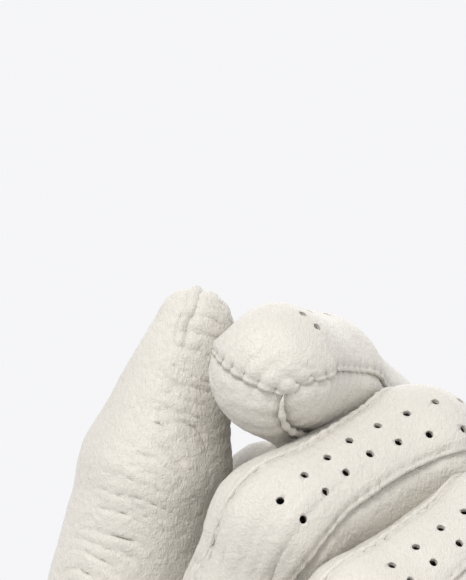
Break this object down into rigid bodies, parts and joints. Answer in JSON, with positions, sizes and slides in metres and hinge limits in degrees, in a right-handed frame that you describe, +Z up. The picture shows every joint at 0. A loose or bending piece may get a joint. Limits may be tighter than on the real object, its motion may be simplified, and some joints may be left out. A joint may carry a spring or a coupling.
{
  "type": "golf glove",
  "caption": "Left-hand leather golf glove held in a pinching pose, with sewn finger stalls that open at the joints and a peel-back wrist tab.",
  "frame": {"origin": "middle of the wrist opening", "axes": "+Z up with the fingertips and thumb tip up, as the hand holds a tee upright; +Y from the fingertips' side towards the back of the hand; +X from the thumb towards the little finger"},
  "size_m": [0.113, 0.0908, 0.1614],
  "materials": {
    "leather": "soft white sheepskin, fine grain",
    "lining": "thin woven lining",
    "elastic": "ribbed woven elastic",
    "binding": "soft woven tape",
    "hook_and_loop": "hook and loop pile"
  },
  "bodies": {
    "hand": {"back_panel": "leather", "closure_tab_base": "leather", "cuff_binding": "binding", "index_back_base": "leather", "index_palm_base": "leather", "index_ulnar_fourchette_base": "leather", "little_back_base": "leather", "little_palm_base": "leather", "little_radial_fourchette_base": "leather", "loop_patch": "hook_and_loop", "middle_back_base": "leather", "middle_palm_base": "leather", "middle_radial_fourchette_base": "leather", "middle_ulnar_fourchette_base": "leather", "palm_panel": "leather", "ring_back_base": "leather", "ring_palm_base": "leather", "ring_radial_fourchette_base": "leather", "ring_ulnar_fourchette_base": "leather", "size_label": "lining", "slit_underlay": "lining", "thumb_base": "leather", "wrist_elastic": "elastic"},
    "index": {"index_back_tip": "leather", "index_palm_tip": "leather", "index_ulnar_fourchette_tip": "leather"},
    "middle": {"middle_back_tip": "leather", "middle_palm_tip": "leather", "middle_radial_fourchette_tip": "leather", "middle_ulnar_fourchette_tip": "leather"},
    "ring": {"ring_back_tip": "leather", "ring_palm_tip": "leather", "ring_radial_fourchette_tip": "leather", "ring_ulnar_fourchette_tip": "leather"},
    "little": {"little_back_tip": "leather", "little_palm_tip": "leather", "little_radial_fourchette_tip": "leather"},
    "thumb": {"thumb_back": "leather", "thumb_front": "leather"},
    "closure_tab": {"closure_tab": "leather", "hook_patch": "hook_and_loop"}
  },
  "joints": [
    {"name": "index_middle_joint", "type": "hinge", "parent": "hand", "child": "index", "pos_m": [0.05846, 0.03916, 0.12528], "axis": [-0.7953, 0.4114, 0.4452], "range_deg": [0, 45]},
    {"name": "middle_middle_joint", "type": "hinge", "parent": "hand", "child": "middle", "pos_m": [0.06639, 0.01281, 0.12114], "axis": [-0.6557, 0.5742, 0.4903], "range_deg": [0, 18]},
    {"name": "ring_middle_joint", "type": "hinge", "parent": "hand", "child": "ring", "pos_m": [0.07614, 0.00022, 0.10941], "axis": [-0.7046, 0.5489, 0.4498], "range_deg": [0, 20]},
    {"name": "little_middle_joint", "type": "hinge", "parent": "hand", "child": "little", "pos_m": [0.06939, -0.02, 0.08641], "axis": [-0.7016, 0.5859, 0.4055], "range_deg": [0, 30]},
    {"name": "thumb_knuckle", "type": "hinge", "parent": "hand", "child": "thumb", "pos_m": [0.02097, 0.0243, 0.08659], "axis": [0.3668, -0.922, -0.1236], "range_deg": [0, 25]},
    {"name": "closure_tab_hinge", "type": "hinge", "parent": "hand", "child": "closure_tab", "pos_m": [0.00936, 0.03037, 0.01092], "axis": [0.4938, 0.2002, 0.8462], "range_deg": [0, 110]}
  ]
}
